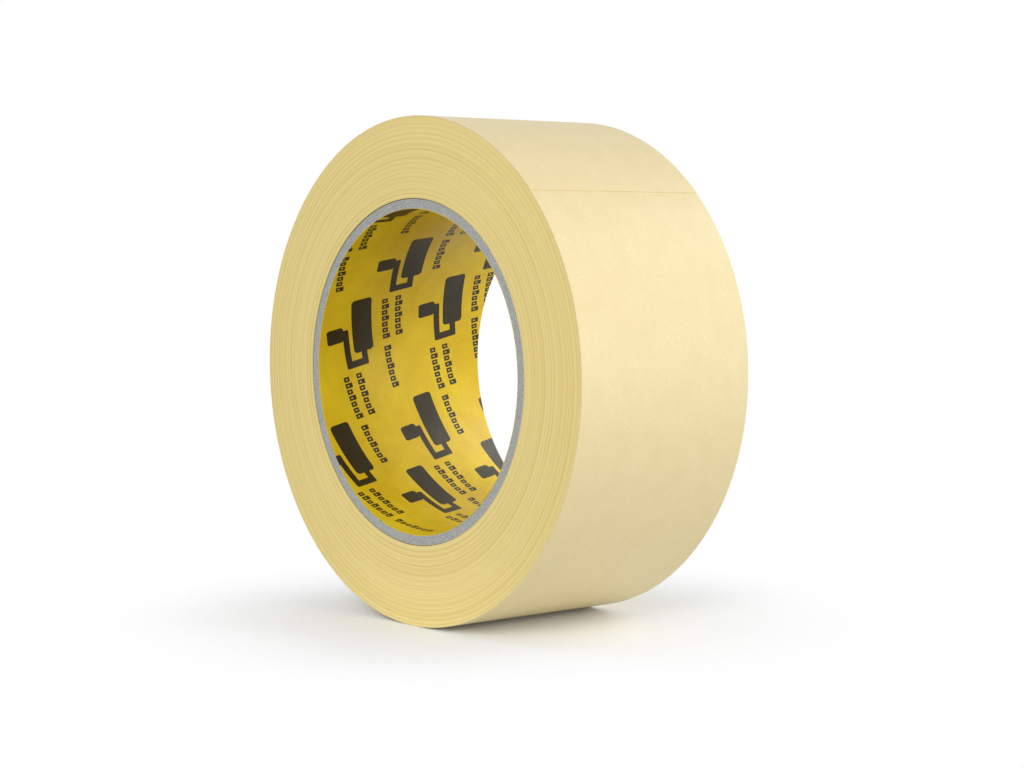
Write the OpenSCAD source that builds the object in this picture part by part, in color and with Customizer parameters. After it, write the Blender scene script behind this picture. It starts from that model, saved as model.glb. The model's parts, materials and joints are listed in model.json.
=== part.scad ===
// Roll of masking tape: a spiral-wound paper core with a glossy printed liner,
// the wound tape, its outermost turn and the free end that is lifted to pull tape off.
//
// The origin is the centre of the bore, half way across the roll. The roll's axis is Y
// and +Z is up. Angles are measured round the axis from +Z towards +X.

/* [Tape] */
// Width of the tape, across the roll
tape_width = 50.8; // [18:0.1:75]
// Thickness of the tape, creped paper and adhesive together
tape_thickness = 0.12; // [0.09:0.005:0.16]
// Radius of the roll at the cut end of the tape
roll_radius = 59.75; // [50:0.05:80]

/* [Core] */
// Radius of the core's bore, half of 3 inches
bore_radius = 38.1; // [38:0.05:38.5]
// Thickness of the printed liner ply
liner_thickness = 0.15; // [0.1:0.01:0.3]
// Number of chipboard plies round the liner
ply_count = 4; // [2:1:5]
// Thickness of one chipboard ply
ply_thickness = 0.575; // [0.4:0.005:0.8]
// How far the core's ends lie inside the edges of the tape
core_recess = 0.2; // [0:0.05:1]

/* [Free end] */
// Direction of the tape's cut end
end_angle = 45.5; // [20:0.5:80]
// Angle that the free tail covers, from the line where it lifts to the cut end
tail_angle = 20; // [10:1:40]
// Gap between the free tail and the turn under it
tail_gap = 0.02; // [0.01:0.005:0.05]

/* [Hidden] */
$fn = 180;
core_length = tape_width - 2 * core_recess;
liner_radius = bore_radius + liner_thickness;
core_radius = liner_radius + ply_count * ply_thickness;
lift_angle = end_angle - tail_angle;

// The outermost turn is a spiral made of two half circles, an early one and a late one.
// Their centres lie a quarter of the tape's thickness to either side of the roll's axis,
// so they meet smoothly opposite the cut end and leave a step of one thickness at it.
centre_shift = tape_thickness / 4;
late_radius = roll_radius - centre_shift;
early_radius = roll_radius - 3 * centre_shift;
late_start = end_angle - 180;
early_start = end_angle - 360;

// How far a cutting shape passes the surface that it cuts
overrun = 1;
// Distance from the axis at which a cutting wedge ends, and the step of its outline
wedge_reach = 2 * roll_radius;
wedge_step = 20;

// A point in the drawing plane, in the direction of an angle round the roll
function toward(angle, distance) = [distance * sin(angle), distance * cos(angle)];

// Turns a shape drawn with X to the right and Y up, so that it lies along the roll's axis
module along_axis() {
    rotate([90, 0, 0]) children();
}

// A tube round the roll's axis
module tube(outer, inner, length) {
    along_axis() difference() {
        cylinder(r = outer, h = length, center = true);
        cylinder(r = inner, h = length + 2 * overrun, center = true);
    }
}

// Keeps what lies between two directions round the axis
module between(first, last) {
    steps = ceil((last - first) / wedge_step);
    rim = [for (i = [0:steps]) toward(first + (last - first) * i / steps, wedge_reach)];
    intersection() {
        children();
        linear_extrude(height = tape_width + 2 * overrun, center = true)
            polygon(concat([[0, 0]], rim));
    }
}

// A disc as wide as the tape, with its centre moved along the line to the cut end
module shifted_disc(radius, shift, width = tape_width) {
    translate(concat(toward(end_angle, shift), [0]))
        cylinder(r = radius, h = width, center = true);
}

// A strip of the early or late half turn
module turn_strip(radius, shift, first, last, inner_gap = 0) {
    between(first, last) difference() {
        shifted_disc(radius, shift);
        shifted_disc(radius - tape_thickness + inner_gap, shift, tape_width + 2 * overrun);
    }
}

// Printed, coated paper that lines the bore
module core_liner() {
    color([0.80, 0.66, 0.18]) tube(liner_radius, bore_radius, core_length);
}

// One ply of grey chipboard, counted from the liner outwards
module chipboard_ply(number) {
    outer = liner_radius + number * ply_thickness;
    color([0.66, 0.66, 0.64]) tube(outer, outer - ply_thickness, core_length);
}

// All the tape under the outermost turn
module tape_winding() {
    color([0.91, 0.83, 0.58]) along_axis() difference() {
        union() {
            between(late_start, end_angle)
                shifted_disc(late_radius - tape_thickness, centre_shift);
            between(early_start, late_start)
                shifted_disc(early_radius - tape_thickness, -centre_shift);
        }
        cylinder(r = core_radius, h = tape_width + 2 * overrun, center = true);
    }
}

// The outermost turn, up to the line where the tail lifts
module tape_outer_turn() {
    color([0.93, 0.87, 0.68]) along_axis() union() {
        turn_strip(early_radius, -centre_shift, early_start, late_start);
        turn_strip(late_radius, centre_shift, late_start, lift_angle);
    }
}

// The free end of the tape, which lifts about its root
module tape_tail() {
    color([0.94, 0.89, 0.72]) along_axis()
        turn_strip(late_radius, centre_shift, lift_angle, end_angle, tail_gap);
}

core_liner();
for (i = [1:ply_count])
    chipboard_ply(i);
tape_winding();
tape_outer_turn();
tape_tail();
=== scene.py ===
"""Looks of a roll of masking tape: wound creped tape on a chipboard core with a printed liner.

Lengths are in metres. The roll's axis is Y, +Z is up, and angles are measured round the
axis from +Z towards +X, as they are in the frame.
"""

import json
import math

import bpy
import numpy as np
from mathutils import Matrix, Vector, noise


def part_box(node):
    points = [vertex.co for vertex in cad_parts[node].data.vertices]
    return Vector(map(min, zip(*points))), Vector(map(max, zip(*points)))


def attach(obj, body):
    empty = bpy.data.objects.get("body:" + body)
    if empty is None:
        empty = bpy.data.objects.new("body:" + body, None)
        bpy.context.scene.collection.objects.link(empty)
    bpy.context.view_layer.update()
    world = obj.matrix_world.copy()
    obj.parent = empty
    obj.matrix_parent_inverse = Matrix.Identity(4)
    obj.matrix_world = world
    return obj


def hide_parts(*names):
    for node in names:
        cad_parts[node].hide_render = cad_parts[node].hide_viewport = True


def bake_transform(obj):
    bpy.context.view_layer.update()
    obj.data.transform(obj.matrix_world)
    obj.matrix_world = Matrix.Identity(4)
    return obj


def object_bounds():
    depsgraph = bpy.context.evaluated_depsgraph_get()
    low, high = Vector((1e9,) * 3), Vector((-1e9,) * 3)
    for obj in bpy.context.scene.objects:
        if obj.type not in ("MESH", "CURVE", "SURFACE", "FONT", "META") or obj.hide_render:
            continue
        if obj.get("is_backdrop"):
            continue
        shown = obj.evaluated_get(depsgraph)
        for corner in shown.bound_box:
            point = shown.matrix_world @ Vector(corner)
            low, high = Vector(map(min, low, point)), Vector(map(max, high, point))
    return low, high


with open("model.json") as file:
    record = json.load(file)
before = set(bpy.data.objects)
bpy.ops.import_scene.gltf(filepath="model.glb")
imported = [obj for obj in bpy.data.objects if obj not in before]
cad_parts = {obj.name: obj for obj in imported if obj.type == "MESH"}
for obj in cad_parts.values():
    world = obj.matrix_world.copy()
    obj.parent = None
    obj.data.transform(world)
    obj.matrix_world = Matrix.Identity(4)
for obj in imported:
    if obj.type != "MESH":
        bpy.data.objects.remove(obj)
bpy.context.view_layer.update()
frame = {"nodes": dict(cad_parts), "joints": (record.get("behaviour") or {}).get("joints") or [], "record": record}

MM = 0.001
METRE_IN_MM = 1000.0


# ---------------------------------------------------------------------------
# Sizes
# ---------------------------------------------------------------------------

def bore_mount():
    """The record's mount for the core's bore."""
    return next(mount for mount in frame["record"]["mounts"] if mount["name"] == "core_bore")


def farthest_point(node):
    """The point of a node that lies farthest from the roll's axis."""
    points = (vertex.co for vertex in frame["nodes"][node].data.vertices)
    return max(points, key=lambda point: math.hypot(point.x, point.z))


PLIES = sorted(name for name in frame["nodes"] if name.startswith("chipboard_ply_"))
BORE_RADIUS = bore_mount()["dims"]["r_mm"] * MM
LINER_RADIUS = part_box("core_liner")[1].x
CORE_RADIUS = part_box(PLIES[-1])[1].x
CORE_HALF_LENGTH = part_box("core_liner")[1].y
HALF_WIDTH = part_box("tape_winding")[1].y

CUT_END = farthest_point("tape_tail")
ROLL_RADIUS = math.hypot(CUT_END.x, CUT_END.z)
END_ANGLE = math.atan2(CUT_END.x, CUT_END.z)
LIFT_POINT = Vector(frame["joints"][0]["pos_m"])
LIFT_TURN = (math.atan2(LIFT_POINT.x, LIFT_POINT.z) - END_ANGLE) / (2 * math.pi)

TAPE = 0.12 * MM
TURNS = round((ROLL_RADIUS - CORE_RADIUS) / TAPE)
OUTER_GIRTH = 2 * math.pi * ROLL_RADIUS / MM

# How far the tape's edges weave from side to side in the winding, and the waves that make
# it up: share of the weave, radians a turn, phase, and how far and how fast the phase sways
WEAVE = 0.05 * MM
WEAVE_WAVES = [
    (0.34, 0.29, 0.8, 0.0, 0.0),
    (0.30, 0.83, 0.0, 2.1, 0.11),
    (0.24, 1.37, 0.0, 1.7, 0.23),
    (0.12, 2 * math.pi, 0.0, 3.0, 0.17),
]

# Hollows in the outermost turn's surface: depth, length along the tape and width across it,
# the slice of the noise they come from, and its roughness, lacunarity and octaves
HOLLOW_DEPTH = 0.02 * MM
HOLLOW_LENGTH = 9 * MM
HOLLOW_WIDTH = 14 * MM
HOLLOW_SLICE = 4.2
HOLLOW_NOISE = (0.6, 2.0, 3)

# The tail's own piece begins a little before the line where it lifts
TAIL_LEAD = 3 * MM
TAIL_START_TURN = LIFT_TURN - TAIL_LEAD / (2 * math.pi * ROLL_RADIUS)

# The core's cut ends: how their corners are rounded, how deep and how coarse the knife's
# marks are, and how near an end a point has to be to carry them
LINER_ROUNDING = 0.03 * MM
BOARD_ROUNDING = 0.07 * MM
KNIFE_DEPTH = 0.05 * MM
KNIFE_GRAIN = 0.9 * MM
END_BAND = 0.1 * MM

# Steps of the meshes: round the liner and the board, in each turn of the winding, and along
# and across the outermost turn and the tail
LINER_STEPS = 288
BOARD_STEPS = 360
WINDING_STEPS = 118
OUTER_TURN_STEPS = 720
TAIL_STEPS = 96
TAPE_LANES = 28

# Points nearer than this are one, and edges flatter than this angle are shaded smooth
WELD = 0.002 * MM
SMOOTH_ANGLE = math.radians(35)


# ---------------------------------------------------------------------------
# Modelling
# ---------------------------------------------------------------------------

def clear_selection():
    """Nothing stays selected, so that the next operator acts on its own piece alone."""
    if bpy.context.object and bpy.context.object.mode != "OBJECT":
        bpy.ops.object.mode_set(mode="OBJECT")
    bpy.ops.object.select_all(action="DESELECT")


def name_piece(piece, name):
    """Gives a piece and its mesh the same name."""
    piece.name = name
    piece.data.name = name
    return piece


def read_points(piece):
    """The piece's vertices as an array with one row for each."""
    points = np.empty(len(piece.data.vertices) * 3)
    piece.data.vertices.foreach_get("co", points)
    return points.reshape(-1, 3)


def write_points(piece, points):
    """Moves the piece's vertices to the rows of an array."""
    piece.data.vertices.foreach_set("co", points.ravel())
    piece.data.update()


def smooth(piece):
    """Shades a piece smooth, apart from its sharp edges."""
    clear_selection()
    piece.select_set(True)
    bpy.context.view_layer.objects.active = piece
    bpy.ops.object.shade_smooth_by_angle(angle=SMOOTH_ANGLE)


def spun_ring(name, inner, outer, half_length, rounding, steps, rows=1):
    """A tube round the roll's axis: its wall's outline, with rounded corners, is spun."""
    clear_selection()
    bpy.ops.mesh.primitive_plane_add(size=1)
    ring = name_piece(bpy.context.object, name)
    bpy.ops.object.mode_set(mode="EDIT")
    bpy.ops.transform.resize(value=(outer - inner, 2 * half_length, 1))
    bpy.ops.transform.translate(value=((inner + outer) / 2, 0, 0))
    bpy.ops.mesh.bevel(offset=rounding, segments=3, affect="VERTICES")
    bpy.ops.mesh.delete(type="ONLY_FACE")
    bpy.ops.mesh.select_all(action="SELECT")
    if rows > 1:
        bpy.ops.mesh.subdivide(number_cuts=rows - 1)
    bpy.ops.mesh.spin(
        steps=steps, angle=2 * math.pi, center=(0, 0, 0), axis=(0, 1, 0), dupli=False
    )
    bpy.ops.mesh.select_all(action="SELECT")
    bpy.ops.mesh.remove_doubles(threshold=WELD)
    bpy.ops.mesh.normals_make_consistent(inside=False)
    bpy.ops.object.mode_set(mode="OBJECT")
    return ring


def roughen_ends(ring, seed):
    """Presses the cut ends of a board tube in unevenly, as a knife leaves them."""
    points = read_points(ring)
    end = np.abs(points[:, 1]).max()
    for point in points:
        if abs(point[1]) > end - END_BAND:
            place = Vector((point[0], point[1] + seed, point[2])) / KNIFE_GRAIN
            mark = KNIFE_DEPTH * (0.5 + 0.5 * noise.noise(place))
            point[1] -= math.copysign(mark, point[1])
    write_points(ring, points)


# ---------------------------------------------------------------------------
# The wound tape
# ---------------------------------------------------------------------------

def tape_radius(turn):
    """Distance from the axis to the tape's outer surface, turns being counted to the cut end.

    Each turn is two half circles whose centres lie a quarter of the tape's thickness to
    either side of the axis, so that it grows by one thickness.
    """
    whole = np.floor(turn)
    part = turn - whole
    swing = 0.25 * np.cos(2 * math.pi * part)
    rise = np.where(part < 0.5, 0.25 - swing, 0.75 + swing)
    return ROLL_RADIUS + TAPE * (whole + rise)


def weave(turn):
    """How far the tape's edges stand to one side, from -1 to 1, slowly changing as it winds."""
    return sum(
        share * np.sin(rate * turn + phase + sway * np.sin(sway_rate * turn))
        for share, rate, phase, sway, sway_rate in WEAVE_WAVES
    )


def unevenness(along, across):
    """Shallow hollows of the tape's surface, from 0 to 1, for arrays of places on it."""
    places = (
        Vector((a / HOLLOW_LENGTH, b / HOLLOW_WIDTH, HOLLOW_SLICE))
        for a, b in zip(along, across)
    )
    depths = [0.5 + 0.5 * noise.fractal(place, *HOLLOW_NOISE) for place in places]
    return np.array(depths).clip(0, 1)


def wound_strip(name, first_turn, last_turn, steps, lanes=1, hollow=0.0):
    """A strip of tape, laid out flat, given its thickness and wound on the roll.

    Hollows of a depth can be pressed into its outer surface.
    """
    clear_selection()
    bpy.ops.mesh.primitive_grid_add(x_subdivisions=steps, y_subdivisions=lanes, size=1)
    strip = name_piece(bpy.context.object, name)
    wall = strip.modifiers.new("Thickness", "SOLIDIFY")
    wall.thickness = TAPE
    wall.offset = 1
    bpy.ops.object.modifier_apply(modifier=wall.name)

    points = read_points(strip)
    turn = first_turn + (points[:, 0] + 0.5) * (last_turn - first_turn)
    side = 2 * points[:, 1] * (HALF_WIDTH - WEAVE)
    outside = points[:, 2] > TAPE / 2
    along = turn * 2 * math.pi * ROLL_RADIUS
    radius = tape_radius(turn) - np.where(outside, 0, TAPE)
    if hollow:
        radius -= hollow * np.where(outside, unevenness(along, side), 0)
    angle = END_ANGLE + 2 * math.pi * turn
    place = side + WEAVE * weave(turn)
    wound = np.stack([radius * np.sin(angle), place, radius * np.cos(angle)], axis=1)
    write_points(strip, wound)

    map_along_tape(strip, along, side)
    layer = strip.data.attributes.new("through_tape", "FLOAT", "POINT")
    layer.data.foreach_set("value", outside.astype(np.float32))
    smooth(strip)
    return strip


def map_along_tape(strip, along, side):
    """A UV map in metres: distance along the tape before its cut end, and across it."""
    corners = np.empty(len(strip.data.loops), dtype=np.int32)
    strip.data.loops.foreach_get("vertex_index", corners)
    flat = np.stack([along[corners], side[corners]], axis=1)
    strip.data.uv_layers.new(name="along_tape").data.foreach_set("uv", flat.ravel())


def away_from_axis(face):
    """A face's distance from the axis, and how far it looks away from it, from -1 to 1."""
    outward = Vector((face.center.x, 0, face.center.z))
    return outward.length, face.normal.dot(outward.normalized())


def tape_winding(edges, crepe):
    """Every turn under the outermost one.

    The outside of its last half turn or so is creped paper, which shows under the tail when
    that is lifted.
    """
    turns = TURNS - 2
    strip = wound_strip("wound_tape", -turns - 1, -1, steps=WINDING_STEPS * turns)
    strip.data.materials.append(edges)
    strip.data.materials.append(crepe)
    last_half_turn = ROLL_RADIUS - 1.6 * TAPE
    for face in strip.data.polygons:
        distance, outwards = away_from_axis(face)
        if distance > last_half_turn and outwards > 0.5:
            face.material_index = 1
    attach(strip, "roll")
    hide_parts("tape_winding")


def tape_outer_turn(crepe, sticky):
    """The outermost turn, up to where the tail's own piece begins."""
    strip = wound_strip(
        "outer_turn", -1, TAIL_START_TURN, OUTER_TURN_STEPS, TAPE_LANES, HOLLOW_DEPTH
    )
    dress_tape(strip, crepe, sticky)
    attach(strip, "roll")
    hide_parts("tape_outer_turn")


def tape_tail(crepe, sticky):
    """The free end, wound on the roll from a little before its root to the cut end."""
    strip = wound_strip(
        "tape_tail_end", TAIL_START_TURN, 0, TAIL_STEPS, TAPE_LANES, HOLLOW_DEPTH
    )
    dress_tape(strip, crepe, sticky)
    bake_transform(strip)
    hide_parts("tape_tail")


def dress_tape(strip, crepe, sticky):
    """Creped paper outside, adhesive on the side that faces the roll."""
    strip.data.materials.append(crepe)
    strip.data.materials.append(sticky)
    for face in strip.data.polygons:
        _, outwards = away_from_axis(face)
        if outwards < -0.5:
            face.material_index = 1


# ---------------------------------------------------------------------------
# The core
# ---------------------------------------------------------------------------

def core_liner():
    """The printed paper in the bore."""
    sizes = (BORE_RADIUS, LINER_RADIUS, CORE_HALF_LENGTH, LINER_ROUNDING)
    liner = spun_ring("liner", *sizes, LINER_STEPS, rows=2)
    liner.data.materials.append(printed_liner())
    smooth(liner)
    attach(liner, "roll")
    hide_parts("core_liner")


def chipboard_plies():
    """The board strips wound over the liner, each as its own tube."""
    board = chipboard()
    inner = LINER_RADIUS
    for number, node in enumerate(PLIES, start=1):
        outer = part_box(node)[1].x
        sizes = (inner, outer, CORE_HALF_LENGTH, BOARD_ROUNDING)
        ply = spun_ring(f"board_{number}", *sizes, BOARD_STEPS)
        roughen_ends(ply, seed=number)
        ply.data.materials.append(board)
        smooth(ply)
        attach(ply, "roll")
        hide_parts(node)
        inner = outer


# ---------------------------------------------------------------------------
# Material maths
# ---------------------------------------------------------------------------

class Signal:
    """A value in a material. Sums written with it add the Math nodes that work them out."""

    def __init__(self, recipe, socket):
        self.recipe = recipe
        self.socket = socket

    def math(self, operation, *others):
        """The outcome of a Math node for this value and the others."""
        values = dict(enumerate((self, *others)))
        return self.recipe.add("Math", {"operation": operation}, values)

    def __add__(self, other):
        return self.math("ADD", other)

    def __mul__(self, other):
        return self.math("MULTIPLY", other)

    __rmul__ = __mul__

    def __sub__(self, other):
        return self.math("SUBTRACT", other)

    def __rsub__(self, other):
        return self.recipe.add("Math", {"operation": "SUBTRACT"}, {0: other, 1: self})

    def __truediv__(self, other):
        return self.math("DIVIDE", other)

    def __neg__(self):
        return self * -1

    def __abs__(self):
        return self.math("ABSOLUTE")

    def above(self, level, softness):
        """1 where the value is over a level, 0 where it is under, with a soft step between."""
        return ((self - level) / softness + 0.5).clamped()

    def clamped(self):
        """The value kept between 0 and 1."""
        return self.recipe.add("Math", {"operation": "ADD", "use_clamp": True}, {0: self, 1: 0.0})


class Recipe:
    """A material, with one method that adds any node to it."""

    def __init__(self, name):
        self.material = bpy.data.materials.new(name)
        self.material.use_nodes = True
        self.tree = self.material.node_tree
        self.surface = self.tree.nodes["Principled BSDF"]

    def add(self, kind, settings=None, inputs=None, output=0):
        """Adds a node of a kind, sets it up, feeds its sockets and gives one output."""
        node = self.tree.nodes.new("ShaderNode" + kind)
        for name, value in (settings or {}).items():
            setattr(node, name, value)
        for socket, value in (inputs or {}).items():
            self.feed(node.inputs[socket], value)
        return Signal(self, node.outputs[output])

    def feed(self, socket, value):
        """Links a value to a socket, or sets the socket to a constant."""
        if isinstance(value, Signal):
            self.tree.links.new(value.socket, socket)
        else:
            socket.default_value = value

    def finish(self, **sockets):
        """Feeds the surface's sockets, named with _ for a space, and gives the material."""
        for name, value in sockets.items():
            self.feed(self.surface.inputs[name.replace("_", " ")], value)
        return self.material

    def mix(self, factor, first, second):
        """One colour where the factor is 0 and the other where it is 1.

        A Mix node has its colours at sockets 6 and 7, and the mixed one at output 2.
        """
        return self.add("Mix", {"data_type": "RGBA"}, {0: factor, 6: first, 7: second}, 2)

    def in_millimetres(self, vector, count):
        """The first few parts of a vector in metres, each as a value in millimetres."""
        return [
            self.add("SeparateXYZ", inputs={0: vector}, output=axis) * METRE_IN_MM
            for axis in range(count)
        ]

    def place(self):
        """Object coordinates in millimetres, as three values."""
        return self.in_millimetres(self.add("TexCoord", output="Object"), 3)

    def place_on_tape(self):
        """Millimetres along and across the tape."""
        return self.in_millimetres(self.add("UVMap", {"uv_map": "along_tape"}), 2)

    def grain(self, x, y, z=0.0, detail=2.0, roughness=0.5):
        """Cloudy noise from 0 to 1 at a place whose numbers are already scaled."""
        vector = self.add("CombineXYZ", inputs={0: x, 1: y, 2: z})
        settings = {"noise_dimensions": "3D"}
        inputs = {"Vector": vector, "Scale": 1.0, "Detail": detail, "Roughness": roughness}
        return self.add("TexNoise", settings, inputs)

    def relief(self, height, distance):
        """A normal for a height from 0 to 1 that stands for a real distance."""
        inputs = {"Height": height, "Distance": distance, "Strength": 1.0}
        return self.add("Bump", inputs=inputs)


def srgb(red, green, blue):
    """A colour given in display levels from 0 to 255, as a linear one."""
    def linear(level):
        level /= 255
        return level / 12.92 if level <= 0.04045 else ((level + 0.055) / 1.055) ** 2.4
    return (linear(red), linear(green), linear(blue), 1.0)


# ---------------------------------------------------------------------------
# Materials
# ---------------------------------------------------------------------------

# Numbers in a material were chosen. A place is divided by the size of its grain in
# millimetres, and a whole number added to it picks another stretch of the noise. The others
# are strengths, and levels between 0 and 1 with the softness of the step at them.

# Colours that a material varies between, the darker one first
CREPE_SHADES = (srgb(203, 185, 132), srgb(220, 203, 157))
ADHESIVE_SHADES = (srgb(214, 186, 112), srgb(228, 203, 134))
EDGE_SHADES = (srgb(218, 195, 116), srgb(248, 229, 160))
BOARD_SHADES = (srgb(138, 141, 137), srgb(187, 189, 186))
YELLOW_SHADES = (srgb(205, 169, 16), srgb(230, 202, 38))

# Single colours that lie over those
PALE_FLECK = srgb(246, 238, 212)
CUT_END_SHADOW = srgb(170, 152, 96)
ADHESIVE_AT_EDGE = srgb(190, 160, 84)
DARK_SPECK = srgb(84, 86, 88)
LIGHT_SPECK = srgb(226, 228, 224)
# Painted shade of the gap where the core's rim meets the tape
CORE_RIM_SHADE = srgb(70, 66, 56)
INK = srgb(34, 27, 14)

# Edges of the wound turns stand proud and sink back at about this pitch, in millimetres; where they sink back
# their colour is darkened as painted shade
RING_PITCH = 1.15


def wrinkles(recipe, along, across):
    """The fine wrinkles of creped paper, which show on both of its sides."""
    return recipe.grain(along / 0.32, across / 1.5, detail=3.0, roughness=0.55)


def crepe_paper():
    """Creped paper: fine wrinkles across the tape, with faint clouds and pale flecks.

    A faint line marks the step where the cut end lies on the turn under it.
    """
    recipe = Recipe("crepe_paper")
    along, across = recipe.place_on_tape()
    wrinkle = wrinkles(recipe, along, across)
    fold = recipe.grain(along / 1.1, across / 6.0, 7.0, detail=2.0)
    cloud = recipe.grain(along / 7.0, across / 5.0, 3.0, detail=4.0, roughness=0.6)
    fleck = recipe.grain(along / 0.5, across / 0.9, 11.0, detail=1.0).above(0.68, 0.1)
    tone = (cloud - 0.5) * 0.5 + (wrinkle - 0.5) * 0.5 + 0.5
    paper = recipe.mix(tone.clamped(), *CREPE_SHADES)
    flecks = fleck * cloud.above(0.5, 0.2)
    colour = recipe.mix(flecks * 0.3, paper, PALE_FLECK)
    step = 1 - abs(along + OUTER_GIRTH).above(0.25, 0.3)
    colour = recipe.mix(step * 0.06, colour, CUT_END_SHADOW)
    normal = recipe.relief(wrinkle * 0.7 + fold * 0.3, 0.03 * MM)
    return recipe.finish(
        Base_Color=colour, Roughness=0.46, Normal=normal, Specular_IOR_Level=0.75
    )


def adhesive():
    """The tacky side of the tape."""
    recipe = Recipe("adhesive")
    along, across = recipe.place_on_tape()
    streak = recipe.grain(along / 9.0, across / 0.8, 5.0, detail=3.0)
    colour = recipe.mix(streak, *ADHESIVE_SHADES)
    normal = recipe.relief(wrinkles(recipe, along, across), 0.02 * MM)
    return recipe.finish(Base_Color=colour, Roughness=0.24, Normal=normal)


def tape_edges():
    """The slit edges of the wound turns: fine rings that change slowly round the roll.

    Darker lines at the rings' pitch are painted shade where the edges sink back.
    """
    recipe = Recipe("tape_edges")
    x, _, z = recipe.place()
    radius = (x * x + z * z).math("SQRT")
    east = x / radius
    north = z / radius
    ring = recipe.grain(east * 0.25, north * 0.25, radius / 0.3, detail=1.0)
    wander = recipe.grain(east * 0.5, north * 0.5, radius / 2.5, detail=1.0)
    swing = ((radius + wander * 2.0) * (2 * math.pi / RING_PITCH)).math("SINE")
    line = (swing * 0.5 + 0.5).math("POWER", 2.5)
    patch = recipe.grain(east * 1.1, north * 1.1, radius / 6.0 + 30, detail=1.0)
    line = line * patch.above(0.35, 0.5)
    dust = recipe.grain(x / 0.25, z / 0.25, detail=2.0)
    through = recipe.add("Attribute", {"attribute_name": "through_tape"}, output="Fac")
    paper = through.above(0.22, 0.1)
    # The lines darken the colour as well as the bump: painted shade where the edges sink back
    tone = (ring - 0.5) * 0.9 + (dust - 0.5) * 0.2 - line * 0.34 + 0.6
    colour = recipe.mix(tone.clamped(), *EDGE_SHADES)
    colour = recipe.mix((1 - paper) * 0.25, colour, ADHESIVE_AT_EDGE)
    normal = recipe.relief(ring * 0.5 - line * 0.4 + dust * 0.1 + 0.4, 0.055 * MM)
    return recipe.finish(Base_Color=colour, Roughness=0.72, Normal=normal)


def chipboard():
    """Grey board from waste paper, with fibres and specks, and a dark rim at the tape that is painted shade of the
    small gap there.
    """
    recipe = Recipe("chipboard")
    x, y, z = recipe.place()
    fibre = recipe.grain(x / 0.22, y / 0.22, z / 0.22, detail=4.0, roughness=0.65)
    cloud = recipe.grain(x / 1.8, y / 1.8, z / 1.8, detail=3.0)
    dark = recipe.grain(x / 0.35 + 40, y / 0.35, z / 0.35, detail=1.0).above(0.68, 0.06)
    light = recipe.grain(x / 0.3 - 40, y / 0.3, z / 0.3, detail=1.0).above(0.63, 0.06)
    tone = (fibre - 0.5) * 1.6 + (cloud - 0.5) * 0.5 + 0.5
    board = recipe.mix(tone.clamped(), *BOARD_SHADES)
    board = recipe.mix(dark * 0.7, board, DARK_SPECK)
    board = recipe.mix(light * 0.7, board, LIGHT_SPECK)
    # A dark rim where the board meets the tape: painted shade of the small gap and recess there
    rim_shade = (x * x + z * z).math("SQRT").above(CORE_RADIUS / MM - 0.1, 0.1)
    board = recipe.mix(rim_shade * 0.6, board, CORE_RIM_SHADE)
    normal = recipe.relief(fibre, 0.08 * MM)
    return recipe.finish(Base_Color=board, Roughness=0.9, Normal=normal)


# The liner's print is a slanted lattice that closes on itself round the bore. Every second
# row is shifted by a share of a repeat, and a repeat starts some way left of its roller's
# middle. Lengths are in millimetres
PRINT_REPEATS = 5
PRINT_ROWS = 4
PRINT_ROW_PITCH = 14.0
BORE_GIRTH = 2 * math.pi * BORE_RADIUS / MM
PRINT_SLANT = math.asin(PRINT_ROWS * PRINT_ROW_PITCH / BORE_GIRTH)
PRINT_REPEAT = BORE_GIRTH * math.cos(PRINT_SLANT) / PRINT_REPEATS
PRINT_SHIFT = 0.37
PRINT_START = -10.0

# Each repeat holds a paint roller and two lines of blocks, in millimetres: every block is
# its centre and half sizes, to the right and up as the print is read, and a corner radius
ROLLER_BLOCKS = [
    (-1.2, 3.6, 7.0, 3.0, 1.0),
    (7.2, 3.6, 1.8, 0.9, 0.4),
    (8.3, 1.1, 0.9, 3.4, 0.4),
    (4.2, -1.4, 5.0, 0.9, 0.4),
    (0.0, -1.8, 0.9, 1.2, 0.4),
    (0.0, -4.6, 1.9, 2.6, 1.0),
]
SHORT_LINE = (17.0, 0.6, 6.0)
LONG_LINE = (23.4, -3.4, 12.5)
LETTER_PITCH = 1.6
LETTER_HALF_WIDTH = 0.63
LETTER_HALF_HEIGHTS = (0.86, 1.1)
LETTER_NOTCH = 0.15
LETTERS_TO_A_GAP = 8

# Tall and short blocks follow on each other in a sequence that doesn't seem to repeat
LETTER_SEQUENCE = 0.618
SHORT_LETTER_SHARE = 0.6

# Soft steps: one too short to be seen, and the ink's edge in millimetres
SHARP = 0.01
INK_EDGE = 0.06


def rounded_block(right, up, block):
    """Distance outside a block with rounded corners, less than 0 inside it."""
    centre_right, centre_up, half_right, half_up, corner = block
    over_right = (abs(right - centre_right) - (half_right - corner)).math("MAXIMUM", 0.0)
    over_up = (abs(up - centre_up) - (half_up - corner)).math("MAXIMUM", 0.0)
    return (over_right * over_right + over_up * over_up).math("SQRT") - corner


def line_of_blocks(right, up, line):
    """A line of small blocks of two heights with gaps between groups, in place of words."""
    centre_right, centre_up, half_length = line
    count = round(2 * half_length / LETTER_PITCH)
    first = centre_right - (count - 1) / 2 * LETTER_PITCH
    index = ((right - first) / LETTER_PITCH).math("ROUND")
    index = index.math("MAXIMUM", 0.0).math("MINIMUM", count - 1.0)
    beside = abs(right - first - index * LETTER_PITCH)
    low, high = LETTER_HALF_HEIGHTS
    tall = (index * LETTER_SEQUENCE).math("FRACT").above(SHORT_LETTER_SHARE, SHARP)
    rise = tall * (high - low)
    over = abs(up - centre_up - rise) - rise - low
    block = (beside - LETTER_HALF_WIDTH).math("MAXIMUM", over)
    notch = (beside - LETTER_NOTCH).math("MAXIMUM", abs(up - centre_up) - LETTER_NOTCH * 2)
    is_letter = ((index + 1) / LETTERS_TO_A_GAP).math("FRACT").above(0.05, SHARP)
    return block.math("MAXIMUM", -notch) + (1 - is_letter)


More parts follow.
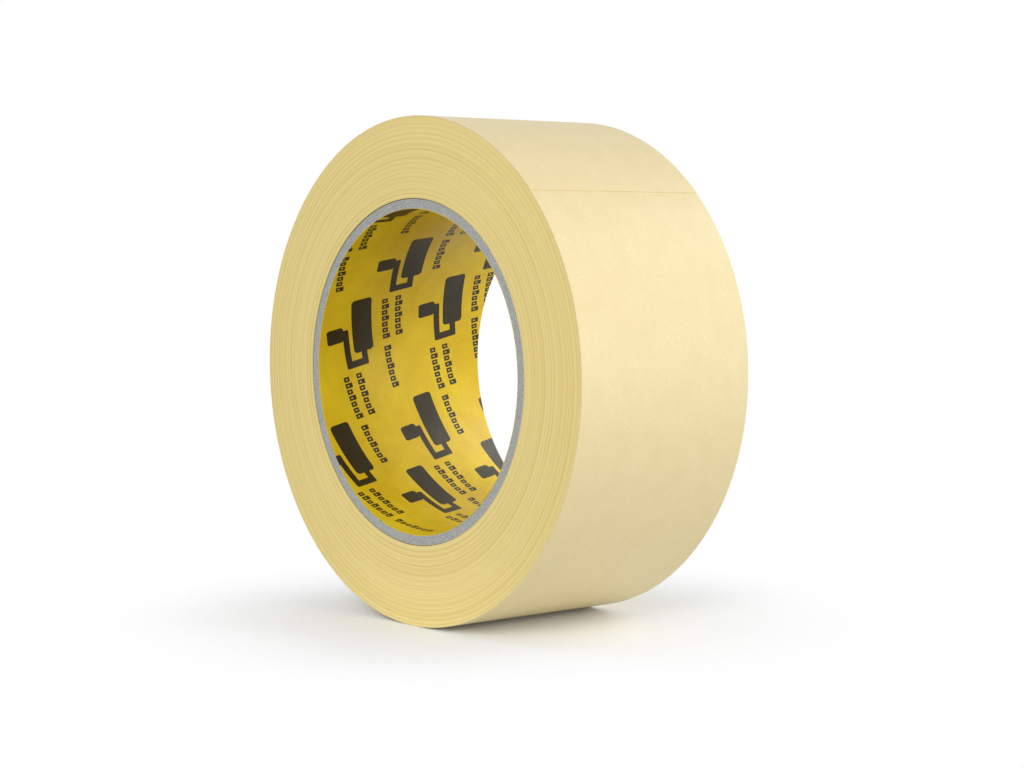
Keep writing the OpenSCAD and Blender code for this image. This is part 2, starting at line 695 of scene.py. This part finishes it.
def print_mask(recipe):
    """1 on the liner's ink and 0 on its bare paper."""
    x, y, z = recipe.place()
    around = x.math("ARCTAN2", z) * (BORE_RADIUS / MM)
    run = around * math.cos(PRINT_SLANT) - y * math.sin(PRINT_SLANT)
    drift = -around * math.sin(PRINT_SLANT) - y * math.cos(PRINT_SLANT)
    row = (drift / PRINT_ROW_PITCH + 0.5).math("FLOOR")
    up = row * PRINT_ROW_PITCH - drift
    odd = row - (row / 2).math("FLOOR") * 2
    right = -(run - odd * PRINT_SHIFT * PRINT_REPEAT)
    right = right.math("WRAP", PRINT_START + PRINT_REPEAT, PRINT_START)
    distances = [rounded_block(right, up, block) for block in ROLLER_BLOCKS]
    distances += [line_of_blocks(right, up, line) for line in (SHORT_LINE, LONG_LINE)]
    nearest = distances[0]
    for distance in distances[1:]:
        nearest = nearest.math("MINIMUM", distance)
    return 1 - nearest.above(0.0, INK_EDGE)


def printed_liner():
    """Glossy yellow paper with a dark print, which is only on the face in the bore."""
    recipe = Recipe("printed_liner")
    x, y, z = recipe.place()
    radius = (x * x + z * z).math("SQRT")
    mottle = recipe.grain(x / 4.0, y / 4.0, z / 4.0, detail=4.0)
    cloud = recipe.grain(x / 16.0, y / 16.0, z / 16.0 + 20, detail=1.0)
    fibre = recipe.grain(x / 0.5, y / 0.5, z / 0.5, detail=2.0)
    tone = (mottle - 0.5) * 0.9 + (cloud - 0.5) * 1.2 + (fibre - 0.5) * 0.4 + 0.5
    yellow = recipe.mix(tone.clamped(), *YELLOW_SHADES)
    on_bore = 1 - radius.above(BORE_RADIUS / MM + 0.08, 0.02)
    ink = print_mask(recipe) * on_bore
    colour = recipe.mix(ink * 0.98, yellow, INK)
    normal = recipe.relief(mottle, 0.12 * MM)
    return recipe.finish(
        Base_Color=colour, Roughness=0.34, Normal=normal, Specular_IOR_Level=0.3
    )


# ---------------------------------------------------------------------------
# Floor, light and camera
# ---------------------------------------------------------------------------

# The camera's direction from the roll, its distance, its shift to the right and up, and its
# focal length and sensor in millimetres
CAMERA_AZIMUTH = math.radians(50.1)
CAMERA_ELEVATION = math.radians(3.68)
CAMERA_DISTANCE = 0.5327
CAMERA_SHIFT = (3.88 * MM, -3.70 * MM)
CAMERA_LENS = 77.7
CAMERA_SENSOR = 36.0

# The floor's side in metres, its colour, and how far from its middle it is still whole and
# has faded away, in millimetres
FLOOR_SIDE = 2.0
FLOOR_COLOUR = (0.92, 0.95, 1.0, 1.0)
FLOOR_CLEAR = 25.0
FLOOR_FADED = 100.0

# How strongly the white surroundings light what stands in them
AMBIENT = 0.45

# Square lights that face the roll: name, place, side and power in watts
LIGHTS = [
    ("behind", (0.2, 1.1, 0.5), 0.7, 5.5),
    ("right", (1.0, 0.25, 0.1), 0.6, 6.0),
    ("front", (0.65, -1.0, 0.5), 0.6, 8.2),
    ("left", (-0.9, -0.3, 0.5), 0.6, 2.0),
]


def floor():
    """A plain pale floor under the roll, which fades gently into the white around it."""
    clear_selection()
    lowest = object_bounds()[0][2]
    bpy.ops.mesh.primitive_plane_add(size=FLOOR_SIDE)
    plane = name_piece(bpy.context.object, "floor")
    bpy.context.object.location.z = lowest
    recipe = Recipe("floor")
    x, y, _ = recipe.place()
    distance = (x * x + y * y).math("SQRT")
    fade = distance.above((FLOOR_CLEAR + FLOOR_FADED) / 2, FLOOR_FADED - FLOOR_CLEAR)
    fade = fade * fade * (3 - 2 * fade)
    plane.data.materials.append(
        recipe.finish(Base_Color=FLOOR_COLOUR, Roughness=0.9, Alpha=1 - fade)
    )
    plane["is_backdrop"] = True


def soft_light(name, place, side, power):
    """A square studio light that faces the roll's centre and isn't seen itself."""
    lamp = bpy.data.lights.new(name, "AREA")
    lamp.shape = "SQUARE"
    lamp.size = side
    lamp.energy = power
    light = bpy.data.objects.new(name, lamp)
    light.location = place
    aim = -Vector(place)
    light.rotation_euler = aim.to_track_quat("-Z", "Y").to_euler()
    light.visible_camera = False
    bpy.context.scene.collection.objects.link(light)


def white_surroundings():
    """A world that looks white, also in reflections, and lights the roll softly."""
    world = bpy.data.worlds.new("studio")
    world.use_nodes = True
    tree = world.node_tree
    background = tree.nodes["Background"]
    background.inputs["Color"].default_value = (1.0, 1.0, 1.0, 1.0)
    lighting = tree.nodes.new("ShaderNodeLightPath").outputs["Is Diffuse Ray"]
    strength = tree.nodes.new("ShaderNodeMapRange")
    strength.inputs["To Min"].default_value = 1.0
    strength.inputs["To Max"].default_value = AMBIENT
    tree.links.new(lighting, strength.inputs["Value"])
    tree.links.new(strength.outputs["Result"], background.inputs["Strength"])
    bpy.context.scene.world = world


def studio():
    """Large soft lights in white surroundings."""
    white_surroundings()
    for name, place, side, power in LIGHTS:
        soft_light(name, place, side, power)
    bpy.context.scene.view_settings.view_transform = "Standard"


def camera():
    """The camera, set by its direction from the roll and its distance."""
    back = Vector((
        math.sin(CAMERA_AZIMUTH) * math.cos(CAMERA_ELEVATION),
        -math.cos(CAMERA_AZIMUTH) * math.cos(CAMERA_ELEVATION),
        math.sin(CAMERA_ELEVATION),
    ))
    turn = back.to_track_quat("Z", "Y")
    right = turn @ Vector((1, 0, 0))
    up = turn @ Vector((0, 1, 0))
    data = bpy.data.cameras.new("camera")
    data.lens = CAMERA_LENS
    data.sensor_width = CAMERA_SENSOR
    eye = bpy.data.objects.new("camera", data)
    eye.location = back * CAMERA_DISTANCE + right * CAMERA_SHIFT[0] + up * CAMERA_SHIFT[1]
    eye.rotation_euler = turn.to_euler()
    bpy.context.scene.collection.objects.link(eye)
    bpy.context.scene.camera = eye


camera()
core_liner()
chipboard_plies()

crepe = crepe_paper()
sticky = adhesive()
tape_winding(tape_edges(), crepe)
tape_outer_turn(crepe, sticky)
tape_tail(crepe, sticky)

floor()
studio()
